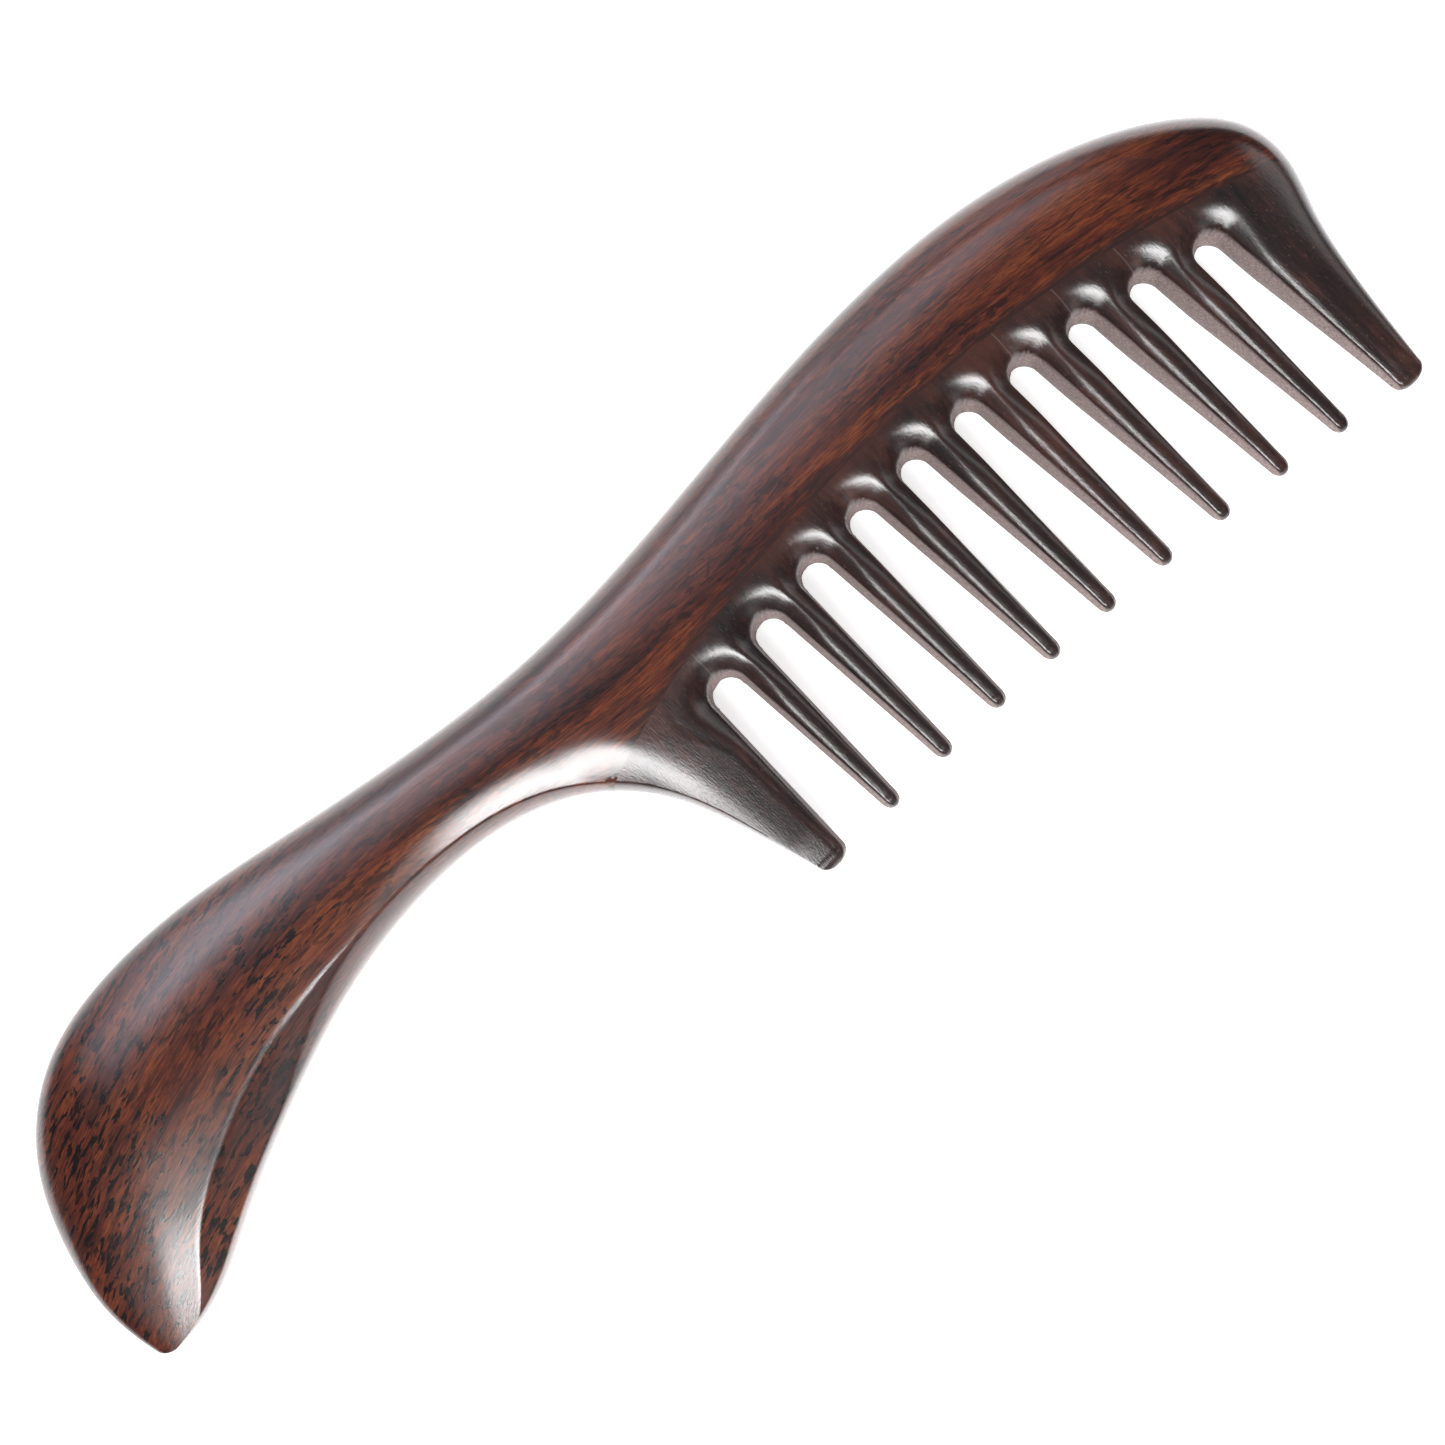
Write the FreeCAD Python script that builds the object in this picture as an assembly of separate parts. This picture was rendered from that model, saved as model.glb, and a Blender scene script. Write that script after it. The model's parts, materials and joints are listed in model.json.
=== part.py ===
import FreeCAD, Part
import math
import os

# Wide tooth comb in two woods, all lengths in mm.
# While the shapes are built, +X runs towards the head end, +Y towards the back,
# the middle plane of the comb is z = 0 and the tooth tips lie close to y = 0.
# The finished pieces are moved so that the comb lies on z = 0, centred on X and Y.

V = FreeCAD.Vector

# Whole comb
full_thickness = 12.4        # spine and bulb of the handle
half_thick = full_thickness / 2
beyond = 30.0                # how far helper shapes run past the comb

# Rolled edges: how far the rounding reaches in from the outline
back_roll = 9.0              # broad rounding of the back
inner_roll = 6.5             # tighter rounding under the handle
roll_land = 0.3              # flat left at the middle plane beside the rounding

# Teeth
slender_teeth = 9
gap_count = slender_teeth + 1
tooth_pitch = 8.36           # along X
tooth_lean = 6.4             # degrees from the -Y direction, tips towards the head
first_gap_x = 6.6            # axis of the first gap at half the length of the teeth
gap_x_reference_y = 12.0     # height at which first_gap_x is taken
tooth_width_at_tip = 2.25    # width at y = 0
tooth_flare = 0.092          # extra width for each mm above y = 0
tip_length = 1.5             # length of the rounded end of a tooth
tip_fullness = 1.07          # size of the rounding ellipsoid over that of the tooth
first_end_tip = (2.8, 1.75)  # middle and half width of the first end tooth at its tip
last_end_tip = (88.6, 2.2)   # the same for the last end tooth

# Arched lines across the head: top of the arch, and the radius it is drawn with
arch_x = 51.0
root_arch_top = 29.1         # line through the tops of the gaps
joint_arch_top = 33.1        # shoulder line between spine and tooth blanks
arch_radius = 161.0
tip_arch_x = 50.0
tip_arch_top = 0.4
tip_arch_radius = 417.0

# Scoop round each gap: part of an ellipse from the middle plane to the face
scoop_reach = 0.70           # half axis across, as a share of the tooth width
scoop_rise = 1.07            # half axis in Z, as a share of the half thickness
scoop_end = 70.0             # degrees of the ellipse used before it runs straight
scoop_flare = 4.0            # length of the straight part, ends above the face
scoop_points = 4             # points on each half of the ellipse
gap_overrun = 5.0            # how far the gap cutter runs on below y = 0

# Hidden tongue on every tooth blank and the groove for it in the spine
tongue_height = 4.5
tongue_thick = 4.0
tongue_foot = 2.0            # how far the tongue shape reaches down into the blank
tongue_row_start = -7.0      # x at which the row of tongues and the groove begin
tongue_row_end = 89.5        # and end, both inside the wood
glue_room = 0.2              # left free at the bottom of the groove

# Outline of the back, from below the handle tip round to below the last tooth
back_outline = [
    (-86.5, -9.0), (-91.3, 2.6), (-93.3, 10.0), (-92.8, 20.0), (-89.2, 30.0), (-81.5, 37.6),
    (-71.0, 41.1), (-59.0, 41.9), (-43.0, 40.5), (-27.0, 39.0), (-13.0, 38.6), (1.0, 39.8),
    (17.0, 42.6), (33.0, 45.6), (47.0, 47.4), (57.0, 47.8), (69.0, 46.7), (80.0, 43.7),
    (88.0, 39.6), (93.3, 34.2), (94.6, 28.4), (92.9, 21.0), (91.3, 11.0), (90.7, 0.0),
    (90.6, -12.0),
]

# Outline of the inner side, from left of the handle tip round to below the first tooth
inner_outline = [
    (-106.0, 3.4), (-96.0, 2.6), (-88.0, 2.9), (-83.0, 4.4), (-75.0, 9.2), (-63.0, 16.0),
    (-51.0, 21.5), (-39.0, 24.8), (-29.0, 25.7), (-19.0, 24.2), (-11.0, 19.9), (-5.5, 13.3),
    (-1.6, 5.0), (1.1, -1.8), (4.6, -12.0),
]
# Corners that close the inner outline far outside the comb, to the right and above
inner_far_corners = [(130.0, -12.0), (130.0, 90.0), (-106.0, 90.0)]

# Crown of the faces along the comb: position x, height y of the crest,
# most that the face may fall from the crest, and the distance that sets how fast
face_stations = [
    (-112.0, 26.0, 4.4, 16.0),
    (-90.0, 27.0, 4.4, 16.0),
    (-70.0, 30.0, 4.2, 17.0),
    (-50.0, 32.0, 3.6, 12.0),
    (-30.0, 33.0, 3.0, 6.5),
    (-12.0, 33.5, 4.6, 16.0),
    (6.0, 35.5, 7.6, 33.0),
    (30.0, 39.0, 8.4, 38.0),
    (60.0, 41.0, 8.6, 40.0),
    (112.0, 41.0, 8.6, 40.0),
]
crest_fall = 0.15            # how far the crest lies below the flat of the spine
crown_columns = 17           # even steps along X at which the faces are worked out
crown_rows = 15              # even steps along Y
crown_low_y = -20.0          # the faces are worked out from here
crown_high_y = 62.0          # to here, beyond the outline on both sides

# Clear of the comb on every side, where helper shapes may end
free_left = -60.0
free_right = 120.0
free_low = -15.0
left_of_teeth = -6.0
left_of_blanks = -40.0


def smooth_edge(points):
    curve = Part.BSplineCurve()
    curve.interpolate([V(*p) for p in points])
    return curve.toShape()


def prism(edges, z_low, z_high):
    face = Part.Face(Part.Wire(edges))
    face.translate(V(0, 0, z_low))
    return face.extrude(V(0, 0, z_high - z_low))


def straight_edges(points):
    return [Part.makeLine(V(*a), V(*b)) for a, b in zip(points[:-1], points[1:])]


def rolled_slab(outline, far_corners, roll):
    """Slab whose edge along the outline is a half ellipse of the given reach."""
    curve = smooth_edge([(x, y, 0) for x, y in outline])
    ends = [outline[-1] + (0,)] + [c + (0,) for c in far_corners] + [outline[0] + (0,)]
    half_slab = roll + roll_land
    slab = prism([curve] + straight_edges(ends), -half_slab, half_slab)
    rims = []
    for edge in slab.Edges:
        flat = abs(edge.BoundBox.ZMax - edge.BoundBox.ZMin) < 0.01
        if flat and abs(edge.Length - curve.Length) < 0.5:
            rims.append(edge)
    slab = slab.makeFillet(roll, rims)
    squash = FreeCAD.Matrix()
    squash.scale(V(1, 1, half_thick / half_slab))
    return slab.transformGeometry(squash)


def face_fall(y, crest, most, reach):
    """How far the face lies below the flat of the spine at height y, less than 0 if above."""
    q = (crest - y) / reach
    return crest_fall + most * q * abs(q) / (1 + q * q)


def crown_at(x):
    """Crest height, most fall and fall distance at x, eased between the stations."""
    for left, right in zip(face_stations[:-1], face_stations[1:]):
        if x <= right[0]:
            break
    share = (x - left[0]) / (right[0] - left[0])
    eased = share * share * (3 - 2 * share)
    return [a + (b - a) * eased for a, b in zip(left[1:], right[1:])]


def steps(low, high, count):
    return [low + (high - low) * i / (count - 1) for i in range(count)]


def above_crown():
    """Everything above the crowned upper face, which falls from the spine to the tips."""
    rows = []
    for x in steps(face_stations[0][0], face_stations[-1][0], crown_columns):
        crown = crown_at(x)
        rows.append([V(x, y, half_thick - face_fall(y, *crown))
                     for y in steps(crown_low_y, crown_high_y, crown_rows)])
    surface = Part.BSplineSurface()
    surface.interpolate(rows)
    return surface.toShape().extrude(V(0, 0, beyond))


def arch_y(x, centre_x, top, radius):
    return top - radius + math.sqrt(radius ** 2 - (x - centre_x) ** 2)


def arch_edge(x_from, x_to, top, radius, centre_x):
    points = [V(x, arch_y(x, centre_x, top, radius), 0)
              for x in (x_from, (x_from + x_to) / 2, x_to)]
    return Part.Arc(*points).toShape()


def tooth_width(y):
    return tooth_width_at_tip + tooth_flare * y


def half_thickness_at(y):
    """Half thickness of the tooth field, from the crown used for most of the head."""
    return half_thick - face_fall(y, *face_stations[-1][1:])


def half_gap(y):
    """Half width of a gap in the middle plane, square to its axis."""
    return (tooth_pitch * math.cos(math.radians(tooth_lean)) - tooth_width(y)) / 2


def gap_section(y):
    """Points down one side of a gap, as distance from its axis and z, and its two ends."""
    width = tooth_width(y)
    across = scoop_reach * width
    rise = scoop_rise * half_thickness_at(y)
    points = []
    for i in range(-scoop_points, scoop_points + 1):
        angle = math.radians(scoop_end * i / scoop_points)
        points.append((half_gap(y) + across * (1 - math.cos(angle)), rise * math.sin(angle)))
    end = math.radians(scoop_end)
    slope = V(across * math.sin(end), rise * math.cos(end), 0).normalize() * scoop_flare
    top = (points[-1][0] + slope.x, points[-1][1] + slope.y)
    bottom = (top[0], -top[1])
    return points, top, bottom


def gap_side(y, along, sign):
    """Edges of one side of the gap, standing across the gap axis at local y = along."""
    section, top, bottom = gap_section(y)
    points = [V(sign * r, along, z) for r, z in section]
    low = V(sign * bottom[0], along, bottom[1])
    high = V(sign * top[0], along, top[1])
    curve = Part.BSplineCurve()
    curve.interpolate(points)
    edges = [Part.makeLine(low, points[0]), curve.toShape(), Part.makeLine(points[-1], high)]
    return edges, low, high


def gap_profile(y, along):
    left, left_low, left_high = gap_side(y, along, -1)
    right, right_low, right_high = gap_side(y, along, 1)
    edges = left + [Part.makeLine(left_high, right_high)] + right
    edges.append(Part.makeLine(right_low, left_low))
    return Part.Wire(Part.__sortEdges__(edges))


def gap_axis_x(index, y):
    """x of a gap axis at height y."""
    x = first_gap_x + tooth_pitch * index
    return x - math.tan(math.radians(tooth_lean)) * (y - gap_x_reference_y)


def gap_root_y(index):
    y = gap_x_reference_y
    for step in range(3):
        y = arch_y(gap_axis_x(index, y), arch_x, root_arch_top, arch_radius)
    return y


def gap_cutter(index):
    """Everything between two teeth: a flared slot with a scooped, round end."""
    root_y = gap_root_y(index)
    centre_y = root_y - half_gap(root_y)
    sides, low, high = gap_side(centre_y, 0, 1)
    axis_low = V(0, 0, low.z)
    axis_high = V(0, 0, high.z)
    loop = sides + [Part.makeLine(high, axis_high), Part.makeLine(axis_high, axis_low),
                    Part.makeLine(axis_low, low)]
    spool = Part.Face(Part.Wire(Part.__sortEdges__(loop)))
    spool = spool.revolve(V(0, 0, 0), V(0, 0, 1), 360)
    run = centre_y + gap_overrun
    slot = Part.makeLoft([gap_profile(centre_y, 0), gap_profile(-gap_overrun, -run)], True, True)
    cutter = spool.fuse(slot)
    cutter.rotate(V(0, 0, 0), V(0, 0, 1), tooth_lean)
    cutter.translate(V(gap_axis_x(index, centre_y), centre_y, 0))
    return cutter


def tip_cutter():
    """Everything below the arched line of the tooth tips."""
    arc = arch_edge(left_of_teeth, free_right, tip_arch_top, tip_arch_radius, tip_arch_x)
    a = arc.Vertexes[0].Point
    b = arc.Vertexes[-1].Point
    corners = [(b.x, b.y, 0), (b.x, -beyond, 0), (a.x, -beyond, 0), (a.x, a.y, 0)]
    edges = [arc] + straight_edges(corners)
    return prism(edges, -beyond, beyond)


def whole_comb():
    back = rolled_slab(back_outline, [], back_roll)
    inner = rolled_slab(inner_outline, inner_far_corners, inner_roll)
    above = above_crown()
    below = above.mirror(V(0, 0, 0), V(0, 0, 1))
    body = back.common(inner).cut(above).cut(below)
    for index in range(gap_count):
        body = body.cut(gap_cutter(index))
    return body.cut(tip_cutter())


def joint_y(x, raised=0.0):
    return arch_y(x, arch_x, joint_arch_top + raised, arch_radius)


def below_joint(left, right, low_left, low_right, raised, depth):
    """Prism under the joint arch. Its sides run from the arch to the two low points."""
    arc = arch_edge(left, right, joint_arch_top + raised, arch_radius, arch_x)
    a = arc.Vertexes[0].Point
    b = arc.Vertexes[-1].Point
    corners = [(b.x, b.y, 0), low_right + (0,), low_left + (0,), (a.x, a.y, 0)]
    edges = [arc] + straight_edges(corners)
    return prism(edges, -depth, depth)


def side_x(boundary, y, row_start, row_end):
    """x at height y of the side between blank boundary - 1 and blank boundary."""
    if boundary == 0:
        return row_start
    if boundary > gap_count:
        return row_end
    return gap_axis_x(boundary - 1, y)


def meeting_x(boundary, raised, row_start, row_end):
    """x at which the side of a blank meets the raised joint arch."""
    x = side_x(boundary, joint_arch_top, row_start, row_end)
    for step in range(10):
        x = side_x(boundary, joint_y(x, raised), row_start, row_end)
    return x


def blank_prism(index):
    """Room for one tooth blank: up to the joint arch, and half way across each gap."""
    ends = (left_of_blanks, free_right)
    low_left = (side_x(index, free_low, *ends), free_low)
    low_right = (side_x(index + 1, free_low, *ends), free_low)
    top_left = meeting_x(index, 0, *ends)
    top_right = meeting_x(index + 1, 0, *ends)
    return below_joint(top_left, top_right, low_left, low_right, 0, beyond)


def tongue(index):
    """Tongue of one blank, from inside the blank up to just under the groove's bottom."""
    ends = (tongue_row_start, tongue_row_end)
    low = [joint_y(meeting_x(side, 0, *ends)) - tongue_foot for side in (index, index + 1)]
    low_left = (side_x(index, low[0], *ends), low[0])
    low_right = (side_x(index + 1, low[1], *ends), low[1])
    top_left = meeting_x(index, tongue_height, *ends)
    top_right = meeting_x(index + 1, tongue_height, *ends)
    return below_joint(top_left, top_right, low_left, low_right, tongue_height, tongue_thick / 2)


def groove():
    """Groove for all the tongues, open only towards the tooth blanks."""
    start, end = tongue_row_start, tongue_row_end
    low_left = (start, joint_y(start) - tongue_foot)
    low_right = (end, joint_y(end) - tongue_foot)
    raised = tongue_height + glue_room
    return below_joint(start, end, low_left, low_right, raised, tongue_thick / 2)


def tip_line_y(x):
    return arch_y(x, tip_arch_x, tip_arch_top, tip_arch_radius)


def tip_place(index):
    """Middle and half width of a tooth at its tip."""
    if index == 0:
        return first_end_tip
    if index == gap_count:
        return last_end_tip
    middle = (gap_axis_x(index - 1, 0) + gap_axis_x(index, 0)) / 2
    return middle, tooth_width(0) / 2


def tip_waste(index):
    """What rounding takes off the tip: a block round an ellipsoid."""
    x, half_width = tip_place(index)
    size = FreeCAD.Matrix()
    size.scale(V(half_width * tip_fullness, tip_length, half_thickness_at(0) * tip_fullness))
    ball = Part.makeSphere(1.0).transformGeometry(size)
    ball.rotate(V(0, 0, 0), V(0, 0, 1), tooth_lean)
    corner = V(-2 * half_width, -3 * tip_length, -beyond / 2)
    block = Part.makeBox(4 * half_width, 3 * tip_length, beyond, corner)
    waste = block.cut(ball)
    waste.translate(V(x, tip_line_y(x) + tip_length, 0))
    return waste


def tooth_blank(body, index):
    blank = body.common(blank_prism(index)).cut(tip_waste(index))
    return blank.fuse(tongue(index))


def spine_and_handle(body):
    """The body above the joint arch. Left of the head the arch passes under the handle's rim."""
    low_left = (free_left, -beyond)
    low_right = (free_right, -beyond)
    tooth_field = below_joint(free_left, free_right, low_left, low_right, 0, beyond)
    return body.cut(tooth_field).cut(groove())


def blank_names():
    names = ["first_end_tooth"]
    names += ["slender_tooth_%d" % number for number in range(1, slender_teeth + 1)]
    return names + ["last_end_tooth"]


def all_pieces():
    body = whole_comb()
    pieces = {"spine_and_handle": spine_and_handle(body)}
    for index, name in enumerate(blank_names()):
        pieces[name] = tooth_blank(body, index)
    return pieces


if __name__ == "__main__":
    os.makedirs("parts", exist_ok=True)
    pieces = all_pieces()
    box = Part.makeCompound(list(pieces.values())).optimalBoundingBox(False)
    to_frame = V(-box.Center.x, -box.Center.y, -box.ZMin)
    for name, shape in pieces.items():
        shape.translate(to_frame)
        shape.exportStep("parts/%s.step" % name)
        print(name, len(shape.Solids), shape.isValid(), round(shape.Volume))
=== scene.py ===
import json
import math

import bmesh
import bpy
import numpy as np
from mathutils import Matrix, Vector

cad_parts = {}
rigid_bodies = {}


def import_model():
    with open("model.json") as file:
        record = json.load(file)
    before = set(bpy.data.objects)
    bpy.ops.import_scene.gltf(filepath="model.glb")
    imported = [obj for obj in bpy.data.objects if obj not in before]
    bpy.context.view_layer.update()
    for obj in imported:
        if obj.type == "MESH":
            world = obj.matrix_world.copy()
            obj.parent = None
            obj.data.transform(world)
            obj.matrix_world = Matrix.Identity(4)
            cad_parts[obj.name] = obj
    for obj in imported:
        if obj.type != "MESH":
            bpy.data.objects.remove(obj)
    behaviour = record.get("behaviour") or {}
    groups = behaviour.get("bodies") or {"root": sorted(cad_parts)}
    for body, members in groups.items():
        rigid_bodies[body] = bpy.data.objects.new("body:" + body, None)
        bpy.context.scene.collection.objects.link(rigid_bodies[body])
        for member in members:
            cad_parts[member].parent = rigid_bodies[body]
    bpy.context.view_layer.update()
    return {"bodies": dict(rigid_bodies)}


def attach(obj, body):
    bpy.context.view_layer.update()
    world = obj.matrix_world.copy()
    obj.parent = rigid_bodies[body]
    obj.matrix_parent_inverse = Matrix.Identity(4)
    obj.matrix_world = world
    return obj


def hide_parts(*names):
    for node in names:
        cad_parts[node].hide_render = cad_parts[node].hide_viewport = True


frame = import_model()

# Wide tooth comb. The pieces are drawn in mm in the comb's own axes: +X to the head,
# +Y to the back, z = 0 the middle plane. comb_to_row moves them into the row frame.
comb_to_row = np.array([-0.55, -22.761, 6.178])
mm = 0.001

# ---------------------------------------------------------------- shape of the comb

half_thick = 6.2             # half thickness of the spine
# Along X: how far the rounding of the back reaches in
back_roll = ((-90, 19.0), (-75, 23.0), (-55, 17.0), (-40, 12.0), (-26, 10.5), (0, 10.5),
             (30, 11.5), (60, 11.0), (80, 9.5), (95, 8.0))
# and how far it does on the inner side, from the handle to the first tooth
inner_rolls = ((-72, 8.5), (-60, 6.0), (-44, 3.8), (-14, 3.8), (-11, 5.0), (-6, 4.0),
               (0, 3.0))
# The bevel under the handle: its height at the outline and its rise per mm, the roll of
# its lower edge, and where along X it begins and is complete
bevel_start, bevel_slope = 1.9, 0.76
bevel_roll = 3.0
bevel_from, bevel_to = -44, -70
arris_in = 1.2               # distance of the neck's arris from the outline
# Behind the arris: along X, the depth of the hollow there below the crown, and its width
hollow = ((-60, 0, 1.0), (-53, 0.12, 1.2), (-44, 0.55, 3.0), (-30, 1.0, 5.5), (-14, 1.1, 5.8),
          (-11, 1.6, 7.2), (-6, 0.65, 5.6), (0, 0.12, 4.6))
# Softness of the ridges where the face meets the hollow, the fall to the handle's tip,
# the back, the inner side, the bevel and a gap, and where a flank meets its rounding
hollow_blend, tip_blend, back_blend = 0.3, 1.2, 1.6
inner_blend, bevel_blend = 0.15, 0.02
gap_blend, flank_blend = 0.35, 0.3

# The end of the handle falls away towards its tip
handle_tip = np.array([-89.3, 2.4])
tip_fall_way = np.array([0.508, 0.861])   # from the tip into the handle
tip_fall_start = 0.9         # height at the tip
tip_fall_slope = 0.345       # rise per mm there
tip_fall_easing = 0.0037     # loss of slope per mm, halved
tip_fall_after = 0.02        # slope where it has run out
tip_turn = 0.09              # slope it gains on the side of the back
tip_turn_blend = 1.0
tip_corner_radius = 2.2

tooth_pitch = 8.36
lean = math.radians(6.4)     # the tips lean towards the head
first_gap_x = 6.6            # axis of the first gap at y = 12
reference_y = 12.0
tip_width = 2.25             # tooth width at y = 0
flare = 0.092                # extra width for each mm above y = 0
tip_length = 1.6
tip_thin, tip_thin_over = 0.42, 5.5    # thinning towards the tip, over the last mm
tip_square = 2.2             # exponent of the rounded tip outline, 2 would be an ellipse
end_tips = 2.8, 88.6         # X of the tips of the two end teeth
gap_count = 10
slender_teeth = gap_count - 1

arch_x, arch_radius = 51.0, 161.0
root_arch_top, joint_arch_top = 29.1, 33.1
tip_arch_x, tip_arch_radius, tip_arch_top = 50.0, 417.0, 0.4

sawn_share = 0.74            # height of the sawn flank, as a share of the half thickness
sawn_in = 0.42               # how far the sawn flank leans in over that height
sawn_power = 0.75            # 0.5 would be a round flank, 1 a flat one
cap_rise = 0.29              # height of the rounded top over its rim, of the half thickness
cap_power, cap_beyond = 2.0, 0.3       # its exponent, and its slope past its crest
scoop_share = 0.60           # width of the rounding beside a gap, as a share of the tooth
root_zone = -6, 2            # height over the centre of a gap's round end where it sets in
root_rise, root_power = 0.40, 2.5      # cap_rise and cap_power round the root
root_drop = 0.25             # loss of height of the sawn flank there
scoop_root = 2.5             # extra width of the rounding round the root of a gap

painted_line_gaps = (0, 6, 7, 8)    # gaps above which a thin light line is painted along the joint, as a highlight
painted_line_width = 0.07
sawn_border = 0.12           # width over which the sawn look fades out

tongue_height, tongue_half = 4.5, 2.0
tongue_start, tongue_end = -7.0, 89.5
glue_room = 0.2

back_outline = [
    (-86.5, -9.0), (-91.3, 2.6), (-93.3, 10.0), (-92.8, 20.0), (-89.2, 30.0), (-81.5, 37.6),
    (-71.0, 41.1), (-59.0, 41.9), (-43.0, 40.5), (-27.0, 39.0), (-13.0, 38.6), (1.0, 39.8),
    (17.0, 42.6), (33.0, 45.6), (47.0, 47.4), (57.0, 47.8), (69.0, 46.7), (80.0, 43.7),
    (88.0, 39.6), (93.3, 34.2), (94.6, 28.4), (92.9, 21.0), (91.3, 11.0), (90.7, 0.0),
    (90.6, -12.0),
]
inner_outline = [
    (-106.0, 3.4), (-96.0, 2.6), (-88.0, 2.9), (-83.0, 4.4), (-75.0, 9.2), (-63.0, 16.0),
    (-51.0, 21.5), (-39.0, 24.8), (-29.0, 25.7), (-19.0, 24.2), (-11.0, 19.9), (-5.5, 13.3),
    (-1.6, 5.0), (1.1, -1.8), (4.6, -12.0),
]

# Crown of the faces: x, height y of the crest, most fall from it, and how fast it falls
face_stations = [
    (-112.0, 24.0, 2.4, 16.0), (-90.0, 26.0, 2.4, 16.0), (-70.0, 29.0, 2.0, 17.0),
    (-50.0, 32.0, 1.6, 12.0), (-30.0, 33.0, 1.5, 7.5), (-12.0, 33.5, 3.4, 16.0),
    (6.0, 35.5, 7.6, 33.0), (30.0, 39.0, 8.4, 38.0), (60.0, 41.0, 8.6, 40.0),
    (112.0, 41.0, 8.6, 40.0),
]
crest_fall = 0.15

# How the grain of the spine bends: x and the height over y = 0 it passes there
grain_bends = [(-100, -16.0), (-85, -9.0), (-70, -3.0), (-50, 2.4), (-30, 3.4), (-10, 2.6),
               (10, 3.2), (30, 5.0), (50, 6.4), (70, 6.0), (95, 2.6)]

across_gap = np.array([math.cos(lean), math.sin(lean)])    # square to the tooth axes
along_tooth = np.array([-math.sin(lean), math.cos(lean)])  # towards the back


def smooth_curve(points, spacing=0.7):
    """Natural cubic spline through the points, by chord length, as a dense polyline."""
    p = np.array(points, float)
    chord = np.hypot(*np.diff(p, axis=0).T)
    s = np.concatenate([[0], np.cumsum(chord)])
    n = len(p)
    system = np.eye(n)
    target = np.zeros((n, 2))
    for i in range(1, n - 1):
        system[i, i - 1:i + 2] = chord[i - 1], 2 * (chord[i - 1] + chord[i]), chord[i]
        target[i] = 6 * ((p[i + 1] - p[i]) / chord[i] - (p[i] - p[i - 1]) / chord[i - 1])
    bend = np.linalg.solve(system, target)
    at = np.linspace(0, s[-1], int(s[-1] / spacing))
    k = np.clip(np.searchsorted(s, at, side="right") - 1, 0, n - 2)
    h = chord[k][:, None]
    a = (s[k + 1] - at)[:, None]
    b = (at - s[k])[:, None]
    return (bend[k] * a ** 3 + bend[k + 1] * b ** 3) / (6 * h) \
        + (p[k] / h - bend[k] * h / 6) * a + (p[k + 1] / h - bend[k + 1] * h / 6) * b


back_line = smooth_curve(back_outline)
inner_line = smooth_curve(inner_outline)


def distance_inside(points, line, inside):
    """Signed distance from a polyline, positive on its inner side."""
    start, step = line[:-1], np.diff(line, axis=0)
    length2 = (step ** 2).sum(1)
    result = np.empty(len(points))
    for low in range(0, len(points), 4000):
        p = points[low:low + 4000, None, :] - start[None]
        t = np.clip((p * step).sum(2) / length2, 0, 1)
        gap = p - t[..., None] * step
        d2 = (gap ** 2).sum(2)
        near = d2.argmin(1)
        rows = np.arange(len(near))
        side = step[near, 0] * p[rows, near, 1] - step[near, 1] * p[rows, near, 0]
        result[low:low + 4000] = np.sqrt(d2[rows, near]) * np.sign(side) * inside
    return result


def arch_y(x, centre, top, radius):
    return top - radius + np.sqrt(radius ** 2 - (x - centre) ** 2)


def joint_y(x):
    return arch_y(x, arch_x, joint_arch_top, arch_radius)


def tip_line_y(x):
    return arch_y(x, tip_arch_x, tip_arch_top, tip_arch_radius)


def tooth_width(y):
    return tip_width + flare * y


def gap_half(y):
    return (tooth_pitch * math.cos(lean) - tooth_width(y)) / 2


def gap_x(index, y):
    return first_gap_x + tooth_pitch * index - math.tan(lean) * (y - reference_y)


def root_y(index):
    y = reference_y
    for _ in range(8):
        y = arch_y(gap_x(index, y), arch_x, root_arch_top, arch_radius)
    return y


def gap_centre(index):
    """Centre of the round end of a gap, and the half width of the gap there."""
    top = root_y(index)
    half = gap_half(top)
    y = top - half
    return np.array([gap_x(index, y), y]), half


def crown_height(points):
    """Height of the crowned face above the middle plane."""
    x, y = points.T
    stations = np.array(face_stations)
    k = np.clip(np.searchsorted(stations[:, 0], x) - 1, 0, len(stations) - 2)
    share = (x - stations[k, 0]) / (stations[k + 1, 0] - stations[k, 0])
    share = share * share * (3 - 2 * share)
    crest, most, reach = (stations[k, 1:] + (stations[k + 1, 1:] - stations[k, 1:])
                          * share[:, None]).T
    q = (crest - y) / reach
    return half_thick - crest_fall - most * q * np.abs(q) / (1 + q * q)


def varying(x, at, value):
    """Interpolates along X, with the bends of the table rounded off."""
    return np.mean([np.interp(x + shift, at, value) for shift in (-3, -2, -1, 0, 1, 2, 3)], 0)


def smooth_step(value, low, high):
    share = np.clip((value - low) / (high - low), 0, 1)
    return share * share * (3 - 2 * share)


def soft_min(a, b, width):
    """The lower of two heights, rounded off where they are less than width apart."""
    return np.minimum(a, b) - width / 4 * np.clip(1 - np.abs(a - b) / width, 0, None) ** 2


def roll_height(d, roll):
    """Half ellipse of a rolled edge, below 0 outside the outline."""
    share = 1 - np.clip(1 - d / roll, 0, None) ** 2
    return half_thick * np.sign(share) * np.sqrt(np.abs(share))


def inner_face_height(crown, d, x):
    """The face with the hollow behind the arris of the neck and the first tooth."""
    at, deep, wide = np.array(hollow).T
    t = np.clip(1 - (d - arris_in) / varying(x, at, wide), 0, None)
    return crown - varying(x, at, deep) * t * t


def back_reach(x):
    return varying(x, *np.array(back_roll).T)


def inner_reach(x):
    return varying(x, *np.array(inner_rolls).T)


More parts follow.
